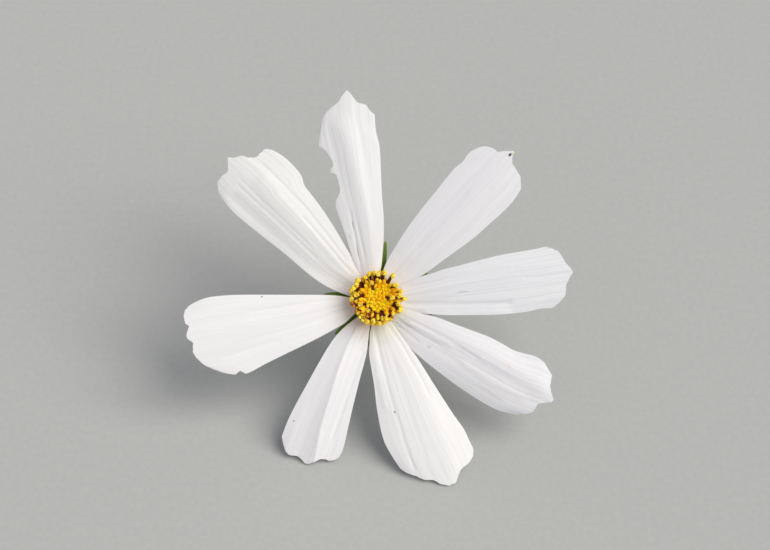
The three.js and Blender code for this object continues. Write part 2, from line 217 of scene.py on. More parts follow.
def bend_along(piece, points, stretch=False):
    """Bends a piece that lies along Y to a curve. Each point is its two handles and its
    place between them."""
    bpy.ops.curve.primitive_bezier_curve_add()
    curve = bpy.context.object
    curve.data.resolution_u = 64
    curve.data.twist_mode = "Z_UP"
    curve.data.use_stretch = curve.data.use_deform_bounds = stretch
    spline = curve.data.splines[0]
    spline.bezier_points.add(len(points) - 2)
    for point, (before, place, after) in zip(spline.bezier_points, points):
        point.handle_left_type = point.handle_right_type = "FREE"
        point.handle_left, point.co, point.handle_right = before, place, after
        point.tilt = math.pi / 2
    finish_with(piece, "CURVE", object=curve, deform_axis="POS_Y")
    bpy.data.objects.remove(curve)


neck = HEAD_MIDDLE / MM - STEM_START * FACING
neck_drop = neck.z - STEM_RADIUS
landing = Vector((neck.x + STEM_DRIFT * DRIFT_AT_LANDING, neck.y + STEM_TOUCHDOWN, STEM_RADIUS))
cut_end = Vector((neck.x + STEM_DRIFT, landing.y + STEM_LAID, STEM_RADIUS))
laid_way = (cut_end - landing).normalized()
bpy.ops.mesh.primitive_circle_add(vertices=STEM_SIDES, radius=STEM_RADIUS, fill_type="NGON",
                                  rotation=(math.pi / 2, 0, 0))
stem = bpy.context.object
stem.name = "cut_stem"
stem.data.materials.append(stalk)
stem.data.materials.append(pith)
bpy.ops.object.transform_apply(rotation=True)
bpy.ops.object.mode_set(mode="EDIT")
pick(stem, lambda place: round(math.atan2(place.z, place.x) / math.tau * STEM_SIDES) % 2)
bpy.ops.transform.resize(value=(STEM_RIB_SHARE, 1, STEM_RIB_SHARE))
bpy.ops.mesh.select_all(action="SELECT")
for step in range(STEM_STEPS):
    extrude((0, 1, 0))
bpy.ops.mesh.inset(thickness=SKIN_THICKNESS)
bpy.ops.mesh.inset(thickness=PITH_SLOPE)
bpy.ops.transform.translate(value=(0, -PITH_SUNK, 0))
for face in bmesh.from_edit_mesh(stem.data).faces:
    face.material_index = 1 if face.select else 0
pick(stem, lambda place: place.y < 0.5)
bpy.ops.transform.resize(value=(STEM_SWELL, 1, STEM_SWELL), center_override=(0, 0, 0),
                         use_proportional_edit=True, proportional_size=STEM_SWELL_LENGTH)
bpy.ops.mesh.select_all(action="SELECT")
bpy.ops.mesh.normals_make_consistent(inside=False)
bpy.ops.object.mode_set(mode="OBJECT")
round_off(stem)
bend_along(stem, [
    (neck + FACING, neck, neck - FACING * neck_drop * NECK_PULL),
    (landing - laid_way * STEM_TOUCHDOWN * LANDING_PULL, landing, landing + laid_way * LAID_PULL),
    (cut_end - laid_way * LAID_PULL, cut_end, cut_end + laid_way),
], stretch=True)
smooth(stem)
settle(stem, Matrix.Scale(MM, 4), "stem", "stem")

# ------------------------------------------------------------------------------------
# The receptacle: the green cup that the stem widens into. It carries the bracts and
# petals round its rim and the florets on its low dome, and all of it grew as one.
CUP_SIDES = 48
CUP_STATIONS = [
    (1.1, -7), (1.22, -6.1), (1.75, -5), (2.7, -3.95), (3.3, -3.05), (3.7, -2.1),
    (3.85, -1.25), (3.85, RIM_TOP - 0.1), (3, 0.05), (2, 0.3), (1, 0.45), (0.3, 0.5),
]
CHAFF_RADIUS = 3.75

# Green cup: the same living skin as the stem, thicker and darker, finely grained.
cup_green = new_finish("fleshy green cup", Roughness=0.5, IOR=1.42, Subsurface_Weight=0.15,
                       Subsurface_Scale=0.0006)
give_grain(cup_green, "TexNoise", {"Scale": 900, "Detail": 5}, [(0.3, "47651c"), (0.7, "7d9838")],
           strength=0.3, depth=0.0001)

# Chaff between the florets: thin dry scales, yellow with rusty edges.
chaff = new_finish("dry disc chaff", Roughness=0.75, IOR=1.4)
give_grain(chaff, "TexVoronoi", {"Scale": 1800}, [(0.2, "e8ae20"), (0.7, "8f4a0c")],
           strength=0.5, depth=0.0001)


def grow(stations):
    """Extrudes the selected ring upwards through stations, each a radius and a height."""
    for (radius, height), (next_radius, next_height) in zip(stations, stations[1:]):
        extrude((0, 0, next_height - height), next_radius / radius, (0, 0, next_height))


def start_ring(name, sides, station, *finishes):
    """A new piece in edit mode: one round face at this radius and height."""
    radius, height = station
    bpy.ops.mesh.primitive_circle_add(vertices=sides, radius=radius, fill_type="NGON",
                                      location=(0, 0, height))
    piece = bpy.context.object
    piece.name = name
    for finish in finishes:
        piece.data.materials.append(finish)
    bpy.ops.object.transform_apply(location=True)
    bpy.ops.object.mode_set(mode="EDIT")
    bpy.ops.mesh.select_all(action="SELECT")
    return piece


def close_up():
    """Turns every face of the piece in hand outwards and leaves edit mode."""
    bpy.ops.mesh.select_all(action="SELECT")
    bpy.ops.mesh.normals_make_consistent(inside=False)
    bpy.ops.object.mode_set(mode="OBJECT")


cup = start_ring("green_cup", CUP_SIDES, CUP_STATIONS[0], cup_green, chaff)
grow(CUP_STATIONS)
for face in bmesh.from_edit_mesh(cup.data).faces:
    middle = face.calc_center_median()
    face.material_index = 1 if middle.z > RIM_TOP - 0.1 and middle.xy.length < CHAFF_RADIUS else 0
close_up()
round_off(cup)
smooth(cup)
settle(cup, HEAD, "receptacle", "receptacle")

# ------------------------------------------------------------------------------------
# The bracts: eight narrow outer ones, green and spreading in the gaps between the
# petals, and eight broad inner ones pressed to the petals' backs. Each is a thin leaf
# that grew from the cup's side.
BRACT_COLUMNS = 8
BRACT_ROWS = 16
BRACT_THICKNESS = 0.16
BRACT_RIB = 0.14
BRACT_CUP = 0.22
OUTER_BRACT = {"half_width": 1.0, "start": (3.6, -2.95), "bend": (6.5, -1.5), "end": (11, -2.7)}
INNER_BRACT = {"half_width": 1.75, "start": (3.9, -1.8), "bend": (6.6, -1.15), "end": (10, -1.15)}
OUTER_BRACT_ANGLES = [82, 27, -18, -58, -104, -140, 176, 126]
INNER_BRACT_ANGLES = [106, 53, 6, -37, -78, -120, -162, 150]

# Green bract: a thin waxy leaf with lines along it about a third of a millimetre apart.
bract_green = new_finish("waxy green bract", Roughness=0.5, IOR=1.42, Subsurface_Weight=0.2,
                         Subsurface_Scale=0.0005)
# Inner bract: a papery scale, yellow-green with a brown tinge and paler edges.
bract_pale = new_finish("papery inner bract", Roughness=0.55, IOR=1.42, Subsurface_Weight=0.3,
                        Subsurface_Scale=0.0005)
BRACT_LINES = 6
for leaf, dark, light in ((bract_green, "3f6216", "7f9f38"), (bract_pale, "6d7b2c", "b3b36a")):
    blade_place = add(leaf, "UVMap", {}, uv_map="UVMap")
    lines = add(leaf, "Mapping", {"Vector": blade_place, "Scale": (BRACT_LINES, 0.7, 1)})
    give_grain(leaf, "TexNoise", {"Scale": 2.5, "Detail": 3}, [(0.32, dark), (0.68, light)],
               strength=0.5, depth=0.00008, place=lines)


def start_blade(name, columns, rows, finish):
    """A new piece in edit mode: a flat grid one unit square, its foot at the origin. Its
    UV map keeps each vertex's place on the blade while the blade is shaped."""
    bpy.ops.mesh.primitive_grid_add(x_subdivisions=columns, y_subdivisions=rows, size=1,
                                    location=(0, 0.5, 0))
    blade = bpy.context.object
    blade.name = name
    blade.data.materials.append(finish)
    bpy.ops.object.transform_apply(location=True)
    bpy.ops.object.mode_set(mode="EDIT")
    return blade


def pick_line(blade, axis, share):
    """Selects the column (axis 0) or the row (axis 1) at this share of the blade."""
    mesh = bmesh.from_edit_mesh(blade.data)
    places = mesh.loops.layers.uv.active
    for vertex in mesh.verts:
        vertex.select_set(abs(vertex.link_loops[0][places].uv[axis] - share) < 0.001)
    mesh.select_flush_mode()
    bmesh.update_edit_mesh(blade.data)


def make_bract(name, size, finish):
    """One bract, lying along Y as on a bench, ready to be copied."""
    bract = start_blade(name, BRACT_COLUMNS, BRACT_ROWS, finish)
    for column in range(BRACT_COLUMNS + 1):
        edge = 2 * column / BRACT_COLUMNS - 1
        rib = BRACT_RIB if column % 4 == 0 else 0
        pick_line(bract, 0, column / BRACT_COLUMNS)
        bpy.ops.transform.translate(value=(0, 0, BRACT_CUP * edge * edge - rib))
    for row in range(BRACT_ROWS + 1):
        share = row / BRACT_ROWS
        half = max(size["half_width"] * math.sqrt(1 - share) * (0.8 + 0.5 * share), 0.1)
        pick_line(bract, 1, share)
        bpy.ops.transform.resize(value=(2 * half, 1, min(half, 1)), center_override=(0, 0, 0))
    bpy.ops.object.mode_set(mode="OBJECT")
    start, bend, end = (Vector((0, *size[key])) for key in ("start", "bend", "end"))
    round_off(bract)
    bend_along(bract, [
        (start * 2 - bend, start, start.lerp(bend, 2 / 3)),
        (end.lerp(bend, 2 / 3), end, end * 2 - bend),
    ], stretch=True)
    finish_with(bract, "SOLIDIFY", thickness=BRACT_THICKNESS, offset=0)
    smooth(bract, 60)
    return bract


def copy_of(master, name):
    """A copy with its own mesh."""
    piece = master.copy()
    piece.data = master.data.copy()
    piece.name = name
    bpy.context.scene.collection.objects.link(piece)
    return piece


random.seed(21)
for ring, size, finish, angles in (
    ("outer", OUTER_BRACT, bract_green, OUTER_BRACT_ANGLES),
    ("inner", INNER_BRACT, bract_pale, INNER_BRACT_ANGLES),
):
    master = make_bract(f"{ring}_bract", size, finish)
    for number, angle in enumerate(angles, 1):
        bract = copy_of(master, f"{ring}_bract_{number}")
        turn = Matrix.Rotation(math.radians(angle - 90), 4, "Z")
        reach = Matrix.Diagonal((random.uniform(0.85, 1.1), random.uniform(0.93, 1.03), 1, 1))
        settle(bract, HEAD @ turn @ reach, "bract", f"bract_{ring}_{number}")
    bpy.data.objects.remove(master)

# ------------------------------------------------------------------------------------
# The petals: eight white ray florets' blades, thin, soft and finely pleated from foot
# to tip, each with its own outline, toothed end, folds and small marks, some of them
# painted shade. They grew from the cup's rim, an upper one and a lower one in turn.
PETAL_FOOT = 3.85
PETAL_REACH = 37
PETAL_FOOT_DEPTH = -0.55
PETAL_LAP = 0.2
PETAL_THICKNESS = 0.2
PETAL_COLUMNS = 84
PETAL_ROWS = 56
TOOTH_PLEAT = 0.03
PLEATS = 20
PLEAT_HEIGHT = 0.018
RAGGED_BY = 0.06
FLAT_AS_FAR_AS = 6
FREE_FROM = 22
BITE_DEPTH = 8
BOW_STEPS = 40
FOLD_LINE = 0.09
PLEATS_AT_FOOT = 0.25

# Outlines are drawn with the petal upright: left and right edges as (along, across)
# from the foot to the shoulders, the end as (across, along) from shoulder to shoulder.
# lap lifts an upper petal's foot above a lower one's, bow lifts the middle of the
# length, tip is the height of the end, roll tips it sideways and arch drops its edges.
# The first of its colours is the petal's white, greyer on the petals that the light reaches
# less: painted shade. vein tints its veins and foot tints its foot with a tint of the foot's
# own, which on the left and bottom_left petals is warmed to stand in for yellow light thrown
# from the disc into its shadow: painted light. A fold, or a sharp crease, is its height, its
# half width and the (across, along) points it passes. A bite is the outline of what is
# eaten from an edge. A mark is its (across, along) place, half width, half length, turn,
# colour and share. Most marks are spots, scars and streaks; the dark grey marks along the
# creases of the top and lower_right petals are painted crease shade, and the grey streaks at
# the feet of the left and bottom_left petals are partly painted shade of the disc's shadow.
PETALS = [
    {
        "name": "top", "angle": 100, "lap": 1, "bow": 2, "tip": 1.8, "roll": 0.02, "arch": 0.7,
        "white_with_painted_shade": "f5f5f2", "vein": "eff0f3", "foot": "ffffff",
        "left": [(4.2, -2.2), (6.85, -3), (10.2, -3.55), (12.9, -3.85), (17.6, -4.6), (21, -5.1),
                 (25, -5.5), (30.3, -5.85), (31.6, -5.7), (33.8, -5)],
        "right": [(4.2, 0.9), (5.8, 1.7), (7.15, 2.1), (9.35, 2.7), (12, 3.3), (14.9, 3.8),
                  (19.1, 4.2), (23, 4.7), (28.2, 5.35), (31.4, 5.2), (34.4, 5.5)],
        "end": [(-5, 33.8), (-4.55, 34.8), (-4.2, 35.5), (-3.6, 36.25), (-2.6, 36.95), (-1.8, 37.4),
                (-1, 37.75), (-0.45, 38.4), (0.4, 39.3), (1, 39.75), (1.3, 39.75), (1.7, 39.1),
                (2.2, 38.1), (2.6, 37.35), (3.1, 37), (3.9, 36.75), (4.3, 36.4), (4.6, 35.6), (5.5, 34.4)],
        "bites": [
            [(-7, 30.7), (-5.85, 30.3), (-5.2, 29.9), (-4.7, 29.2), (-4.2, 28.1), (-3.85, 27.2),
             (-3.9, 26.3), (-4.4, 25.9), (-4.6, 25.5), (-7, 25.5)],
            [(-7, 25.6), (-4.55, 25.6), (-4.5, 25.05), (-4, 24.9), (-3.55, 24.4), (-3.4, 23.35),
             (-3.35, 22), (-3.5, 21.15), (-4, 20.4), (-4.5, 19.8), (-4.8, 18.6), (-7, 18)],
        ],
        "folds": [(0.34, 3, [(0.4, 6), (0.5, 20), (-0.2, 27), (-0.9, 33)]),
                  (-0.08, 0.4, [(-2.1, 5.5), (-2.15, 10), (-2.2, 17)]),
                  (-0.06, 0.4, [(-1, 8), (-1.3, 15)])],
        # The first two marks, dark grey, lie along the crease at the left: painted crease shade.
        "marks": [(-2.1, 9.6, 0.09, 1.6, -1, "77726a", 0.6), (-2.15, 14.6, 0.09, 1, -1, "77726a", 0.7),
                  (-3.1, 12.4, 0.12, 0.6, 12, "c79c86", 0.4)],
    },
    {
        "name": "upper_right", "angle": 47.5, "lap": -1, "bow": 1.8, "tip": 1.6, "roll": -0.02,
        "arch": 0.4, "white_with_painted_shade": "f1f1f1", "vein": "f2f3f5", "foot": "ffffff",
        "left": [(4.2, -2.6), (5, -2.95), (7.3, -3.7), (9.5, -4.1), (12, -4.6), (14.9, -5),
                 (19.5, -5.4), (23, -5.6), (28.2, -5.9), (30, -5.6), (32.2, -5.85), (34.1, -5.2)],
        "right": [(4.2, 1.6), (8.5, 3.15), (10.2, 3.6), (12.9, 4.1), (17.6, 5.05), (21, 5.7),
                  (25, 6.1), (28, 6.4), (31, 6.45), (33.65, 6)],
        "end": [(-5.2, 34.1), (-4.5, 35.05), (-3.1, 35.8), (-1.95, 35.85), (-1.6, 36.3), (-1.05, 36.9),
                (-0.5, 37.4), (0, 37.9), (0.3, 38), (0.5, 37.6), (0.75, 37), (1.2, 36.4), (1.7, 36),
                (2.75, 35.8), (4.3, 35.35), (5.1, 34.65), (6, 33.65)],
        "folds": [(-0.08, 0.8, [(-0.9, 12), (-1, 26)]),
                  (-0.05, 0.6, [(0.6, 7), (1.2, 18), (1.9, 30)])],
        "marks": [(0.1, 37.15, 0.25, 0.38, 0, "2a1c12", 1.0), (0.35, 37.6, 0.2, 0.3, 30, "d9c878", 0.7)],
    },
    {
        "name": "right", "angle": 7, "lap": 1, "bow": 2, "tip": 1.8, "roll": -0.01, "arch": 0.5,
        "white_with_painted_shade": "f3f4f4", "vein": "eff0f3", "foot": "ffffff",
        "left": [(4.2, -1.8), (8.6, -3.1), (11, -3.5), (13, -3.95), (16, -4.3), (20, -4.85),
                 (25, -5.4), (28.5, -5.55), (31.3, -5.7), (32.8, -5.9)],
        "right": [(4.2, 2.2), (8.5, 3.9), (10, 4.2), (12.6, 4.7), (16.5, 5.15), (21.5, 5.7),
                  (25.5, 5.9), (28, 5.9), (30.3, 5.65), (32.7, 5.8)],
        "end": [(-5.9, 32.8), (-5.3, 34.1), (-4.6, 35.2), (-3.1, 35.9), (-2.5, 36.1), (-2, 36.5),
                (-1.2, 37), (-0.5, 37.3), (0, 36.95), (0.5, 36.6), (1.1, 36.2), (1.8, 35.7), (2.7, 35.6),
                (3.4, 35.5), (3.9, 35.2), (4.4, 34.7), (5.1, 33.9), (5.8, 32.7)],
        "folds": [(-0.2, 0.8, [(1.7, 5), (2.2, 9), (3.4, 20), (3.8, 25)]),
                  (0.25, 1.5, [(3.6, 6), (4.9, 14), (5.7, 24)]),
                  (-0.12, 0.6, [(-0.4, 28), (-0.4, 36.5)]),
                  (-0.06, 0.6, [(-1.4, 6), (-1.9, 14), (-2.6, 27)])],
        "marks": [(0.7, 16.3, 0.09, 1.3, -2, "9a9aa0", 0.6)],
    },
    {
        "name": "lower_right", "angle": -31.5, "lap": -1, "bow": 1.8, "tip": 2.6, "roll": -0.07,
        "arch": 1, "white_with_painted_shade": "f6f6f5", "vein": "eff0f3", "foot": "edf4eb",
        "left": [(4.2, -1.5), (9, -2.2), (12, -2.95), (15.3, -3.55), (20, -4.5), (22, -4.85),
                 (25.3, -5.05), (27, -5.1), (29, -5.6), (30.7, -6.15), (31.7, -6.3), (33.3, -6.15)],
        "right": [(4.2, 2.6), (10.2, 4.7), (12.3, 5.15), (15.5, 5.6), (20.5, 6.1), (24.5, 6.3),
                  (28, 6.3), (30.5, 6.05), (33.6, 5.1)],
        "end": [(-6.15, 33.3), (-5.4, 34.6), (-4.9, 35.7), (-4, 36.05), (-3.1, 36.3), (-2, 37.25),
                (-1.1, 38.35), (-0.5, 38.25), (0.2, 37.2), (0.8, 36.6), (1.35, 36.15), (2.3, 36.3),
                (2.9, 36.2), (3.4, 35.9), (5.1, 33.6)],
        "folds": [(0.35, 3.2, [(-0.4, 6), (-1.2, 12), (-1.6, 20), (-2.2, 28), (-2, 35)]),
                  (-0.08, 0.5, [(0.5, 5.2), (0.1, 9), (-0.4, 15), (-0.3, 22)]),
                  (0.08, 0.6, [(0.9, 6), (0.6, 11), (0.4, 17)]),
                  (-0.07, 0.5, [(1.3, 5.2), (1.6, 10), (1.4, 15)]),
                  (-0.07, 0.5, [(2.2, 5.5), (3, 11)]),
                  (-0.09, 1.3, [(0.3, 18), (0.2, 27), (-0.3, 37)]),
                  (0.1, 1, [(2, 20), (2.3, 27), (1.6, 34)])],
        # The three grey marks at the foot lie along its creases: painted crease shade.
        "marks": [(-2.1, 28.2, 0.18, 0.2, 0, "d9b59c", 0.6), (-2.4, 27.8, 0.5, 0.6, 0, "f2dfd6", 0.5),
                  (2.7, 13.2, 0.3, 0.5, 10, "b4b8bc", 0.4), (4, 28, 0.12, 3, -3, "b3a48f", 0.35),
                  (1.3, 8, 0.12, 0.9, 8, "8d8b86", 0.3), (0.6, 7, 0.12, 0.9, 4, "8d8b86", 0.3),
                  (2.4, 6.5, 0.12, 0.8, 12, "8d8b86", 0.3)],
    },
    {
        "name": "bottom_right", "angle": -70, "lap": 1, "bow": 2, "tip": 2.15, "roll": 0, "arch": 0.8,
        "white_with_painted_shade": "fffffb", "vein": "f1f1f3", "foot": "f0efd9",
        "left": [(4.2, -0.8), (7, -1.5), (8.8, -2), (10.9, -2.6), (13.5, -3.3), (19.5, -4.6),
                 (25.4, -5.95), (28.8, -6.9), (31, -7.1), (33, -7.3)],
        "right": [(4.2, 2.6), (5.5, 3.5), (7.5, 4.3), (9.5, 5.1), (12, 5.6), (15.2, 6.2),
                  (20, 7.3), (25.5, 8.05), (29, 7.6), (31.8, 6.9)],
        "end": [(-7.3, 33), (-6.8, 34.2), (-5.8, 35.05), (-4.6, 35.45), (-3.8, 35.75), (-3, 36.6),
                (-2.4, 37.3), (-2, 37.8), (-1.6, 37.85), (-1.3, 37.7), (-0.8, 37.95), (0.3, 37.3),
                (0.9, 36.9), (1.4, 36.2), (1.8, 35.85), (2.4, 35.6), (3.1, 35.4), (3.6, 35.1), (4.2, 34.5),
                (4.6, 34), (5.1, 33.7), (6.1, 32.85), (6.9, 31.8)],
        "folds": [(0.1, 2.6, [(-0.8, 8), (-1.6, 18), (-2.4, 26), (-2.6, 35)]),
                  (-0.08, 0.5, [(-0.2, 5.5), (-1.2, 9.5), (-2.4, 16), (-3, 21)]),
                  (-0.05, 0.8, [(1.3, 12), (1.6, 22), (1.7, 32)]),
                  (-0.1, 0.6, [(2.5, 5), (3.4, 12), (4.1, 20), (4.5, 28), (4.4, 33)]),
                  (0.08, 0.9, [(3.8, 7), (4.9, 14), (5.6, 20)])],
        "marks": [(4.3, 21.4, 0.12, 0.24, 30, "2f2a2c", 1.0)],
    },
    {
        "name": "bottom_left", "angle": -114.5, "lap": -1, "bow": 1.6, "tip": -1.84, "roll": -0.02,
        "arch": 0.3, "white_with_painted_shade": "fdfdfb", "vein": "f3f3f4", "foot": "ffecd7",
        "left": [(4.2, -0.5), (6.8, -1.3), (9.5, -2.2), (12, -2.75), (14.8, -3.2), (20, -4.15),
                 (24.7, -5.1), (27.8, -5.75), (29.4, -5.95), (30.7, -5.8)],
        "right": [(4.2, 1.6), (6.5, 2.9), (8.2, 3.7), (10.5, 4.4), (13.5, 4.85), (19.8, 5.4),
                  (27.5, 5.9), (31.5, 5.7)],
        "end": [(-5.8, 30.7), (-5.2, 31.4), (-4.4, 31.9), (-3.6, 31.95), (-2.9, 32.1), (-2.5, 32.5),
                (-1.4, 33.75), (-0.9, 34.1), (-0.5, 34.25), (0.3, 33.85), (0.9, 33.7), (1.5, 33.6),
                (2.1, 33.8), (2.6, 34), (3.1, 34.05), (3.7, 33.8), (4.2, 33.4), (4.8, 32.7), (5.7, 31.5)],
        "creases": [(0.62, 3.6, [(1.1, 6.5), (1.5, 10), (1.3, 14), (0.8, 18), (0.3, 22), (-0.4, 27),
                                (-1.4, 31), (-2, 34)])],
        "folds": [(-0.08, 0.5, [(-1.6, 10), (-2.4, 18), (-3.2, 28)])],
        # The two olive streaks at the foot are partly painted shade of the disc's shadow.
        "marks": [(4.85, 27.9, 0.14, 0.2, 0, "6d6b70", 0.7), (-0.3, 7.5, 0.14, 1.4, -6, "a9a27c", 0.3),
                  (1.6, 7, 0.14, 1.3, 6, "a9a27c", 0.3)],
    },
    {
        "name": "left", "angle": 193.5, "lap": 1, "bow": 2, "tip": 1.8, "roll": 0, "arch": 0.3,
        "white_with_painted_shade": "fffffc", "vein": "f6f6f7", "foot": "fff2e2",
        "left": [(4.2, -1.4), (5.4, -2.1), (7.2, -3.1), (9.2, -3.7), (13.6, -4.85), (18.4, -5.9),
                 (23.5, -7.05), (27.4, -8), (29.5, -7.7), (31.5, -6.95), (32.3, -6.35)],
        "right": [(4.2, 1), (6.5, 2), (8.2, 2.6), (12, 3.6), (17, 4.8), (21.5, 5.9),
                  (26.5, 7.05), (31, 7.7), (33.2, 7.5), (35.1, 7)],
        "end": [(-6.35, 32.3), (-5.35, 33.8), (-4.45, 34.9), (-3.5, 35.6), (-2.7, 36), (-1.8, 36.3),
                (-1, 36.2), (-0.3, 35.95), (0.1, 35.9), (0.6, 36.4), (1.1, 36.75), (1.6, 36.8), (2.3, 36.5),
                (2.7, 36.2), (3.1, 35.9), (3.4, 35.9), (3.75, 36.4), (4.4, 36.5), (5.2, 36.45), (6.3, 36),
                (7, 35.1)],
        "bites": [[(-9.5, 27.2), (-8.05, 27.6), (-7.65, 28.1), (-7.25, 28.55), (-7.4, 29), (-7.7, 29.5),
                   (-9.5, 29.6)]],
        "folds": [(-0.05, 0.6, [(-3.4, 20), (-3.9, 31)]),
                  (-0.07, 0.5, [(1.3, 5.5), (2.2, 12), (3.2, 24)])],
        # The two grey streaks at the foot are partly painted shade of the disc's shadow.
        "marks": [(5.45, 21.3, 0.15, 0.15, 0, "3a3436", 0.9), (-0.4, 8.2, 0.14, 1.2, 0, "b9b0b8", 0.2),
                  (0.5, 8.6, 0.12, 1.2, -4, "b9b0b8", 0.2)],
    },
    {
        "name": "upper_left", "angle": 136, "lap": -1, "bow": 1.8, "tip": 1.6, "roll": 0.02, "arch": 0.8,
        "white_with_painted_shade": "f6f6f1", "vein": "eeeff2", "foot": "fffaf5",
        "left": [(4.2, -3.4), (6, -4.2), (8, -4.9), (10, -5.4), (12.7, -5.75), (18.5, -6.1),
                 (24.5, -6.7), (30, -7.15), (32, -7.1), (34.8, -6.75)],
        "right": [(4.2, 1.5), (7, 2), (8.5, 2.25), (10.3, 2.6), (14.2, 3.7), (18.8, 4.8), (23, 5.5),
                  (25, 5.8), (26.1, 6.55), (27.5, 6.9), (29.8, 7.05), (31.9, 6.9), (34, 6.35)],
        "end": [(-6.75, 34.8), (-6.4, 35.6), (-6, 36.15), (-5.4, 37), (-5, 37.2), (-3.5, 37.3),
                (-2.7, 37.15), (-2.2, 37.2), (-1.7, 37.7), (-1, 38.4), (-0.4, 38.95), (0, 38.4),
                (0.7, 37.75), (1.75, 37.2), (1.9, 36.7), (2.1, 36.2), (2.5, 35.9), (3, 35.3), (3.7, 35.05),
                (4.2, 35.2), (4.9, 35), (5.3, 35.15), (5.7, 34.9), (6.35, 34)],
        "folds": [(-0.25, 2.2, [(-2.8, 5.5), (-4, 10), (-4.7, 16), (-5, 24), (-5.3, 33)]),
                  (0.25, 3.2, [(0.2, 6), (0.6, 18), (1, 31)]),
                  (-0.08, 0.5, [(0, 7), (0.6, 13), (1.3, 21)]),
                  (-0.07, 0.5, [(1, 9), (2, 15), (2.9, 22), (3.2, 33)]),
                  (-0.06, 0.5, [(-2.6, 14), (-2.9, 34)]),
                  (-0.05, 0.45, [(-1.7, 16), (-1.8, 35)])],
        "marks": [],
    },
]

# Petal tissue: soft, thin and full of air, so it is a dense white with a satin bloom.
# Its fine veins lie about half a millimetre apart, faintly grey, and its foot turns
# cream with dull brown streaks.
VEINS_ACROSS = 36
BANDS_ACROSS = 5
STREAKS_ACROSS = 18
STREAK_SHARE = 0.18


def petal_finish(petal):
    white = new_finish(f"white petal tissue, {petal['name']}", Roughness=0.55, IOR=1.4,
                       Subsurface_Weight=0.3, Subsurface_Radius=(1, 1, 1), Subsurface_Scale=0.0008,
                       Sheen_Weight=0.1, Sheen_Roughness=0.5)
    blade = add(white, "UVMap", {}, uv_map="UVMap")
    flat = add(white, "UVMap", {}, uv_map="millimetres")
    patterns = []
    for across, along, detail in ((VEINS_ACROSS, 1.3, 2), (BANDS_ACROSS, 1, 2), (STREAKS_ACROSS, 2, 1)):
        lines = add(white, "Mapping", {"Vector": blade, "Scale": (across, along, 1)})
        patterns.append(add(white, "TexNoise", {"Vector": lines, "Scale": 1, "Detail": detail}))
    veins, bands, streaks = patterns
    reach = add(white, "MapRange", {
        0: add(white, "SeparateXYZ", {0: flat}, 1), 1: PETAL_FOOT, 2: PETAL_REACH})
    colour = add(white, "ValToRGB", {0: veins}, stops=[(0.3, petal["vein"]), (0.55, "fbfbfb")])
    # The last ramp runs from the foot's tint to the petal's white, so it carries painted light: warmed feet
    # on the left for light thrown from the disc, and a greyer white on the dimmer petals for shade.
    for value, stops in (
        (bands, [(0.35, "f8f8f9"), (0.65, "ffffff")]),
        (reach, [(0.0, "e8e4c8"), (0.03, petal["foot"]), (0.17, petal["white_with_painted_shade"])]),
    ):
        shade = add(white, "ValToRGB", {0: value}, stops=stops)
        colour = add(white, "Mix", {0: 1.0, 6: colour, 7: shade}, 2,
                     data_type="RGBA", blend_type="MULTIPLY")
    at_foot = add(white, "MapRange", {0: reach, 1: 0.16, 2: 0.02})
    heavy = add(white, "MapRange", {0: streaks, 1: 0.52, 2: 0.7, 4: STREAK_SHARE})
    amount = add(white, "Math", {0: at_foot, 1: heavy}, operation="MULTIPLY")
    colour = add(white, "Mix", {0: amount, 6: colour, 7: paint("a8a091")}, 2, data_type="RGBA")
    # Each mark is a patch of colour: a spot, scar or streak, or on some petals painted shade along a crease
    # or at the foot.
    for across, along, half_width, half_length, turn, code, share in petal["marks"]:
        spot = add(white, "Mapping", {
            "Vector": flat, "Location": (across, along, 0), "Rotation": (0, 0, math.radians(turn)),
            "Scale": (half_width, half_length, 1)}, vector_type="TEXTURE")
        off = add(white, "VectorMath", {0: spot}, "Value", operation="LENGTH")
        inside = add(white, "MapRange", {0: off, 1: 1.25, 2: 0.6, 4: share})
        colour = add(white, "Mix", {0: inside, 6: colour, 7: paint(code)}, 2, data_type="RGBA")
    wire(white, colour, "Base Color")
    wire(white, add(white, "Bump", {"Height": veins, "Strength": 0.25, "Distance": 0.00006}), "Normal")
    return white


def through(knots, x):
    """A smooth line through knots (x, y), read at x."""
    last = len(knots) - 1
    if x <= knots[0][0]:
        return knots[0][1]
    if x >= knots[last][0]:
        return knots[last][1]
    i = next(k for k, knot in enumerate(knots) if knot[0] > x) - 1
    slopes = []
    for k in (i, i + 1):
        before, after = knots[max(k - 1, 0)], knots[min(k + 1, last)]
        slopes.append((after[1] - before[1]) / (after[0] - before[0]))
    span = knots[i + 1][0] - knots[i][0]
    t = (x - knots[i][0]) / span
    return ((2 * t**3 - 3 * t**2 + 1) * knots[i][1] + (t**3 - 2 * t**2 + t) * span * slopes[0]
            + (3 * t**2 - 2 * t**3) * knots[i + 1][1] + (t**3 - t**2) * span * slopes[1])


def straight(knots, x):
    """The same, with straight stretches between the knots."""
    for (x0, y0), (x1, y1) in zip(knots, knots[1:]):
        if x <= x1:
            return y0 + (y1 - y0) * (x - x0) / (x1 - x0)
    return knots[-1][1]


def ease(x, start, end):
    """0 before start, 1 after end, and smooth between."""
    t = min(max((x - start) / (end - start), 0), 1)
    return t * t * (3 - 2 * t)


def mix(a, b, share):
    return a + (b - a) * share


def off_line(place, points):
    """How far a place lies from a line of straight stretches, seen from above."""
    nearest = math.inf
    for a, b in zip(points, points[1:]):
        a, b = Vector(a), Vector(b)
        share = min(max((place.xy - a).dot(b - a) / (b - a).length_squared, 0), 1)
        nearest = min(nearest, (place.xy - a.lerp(b, share)).length)
    return nearest


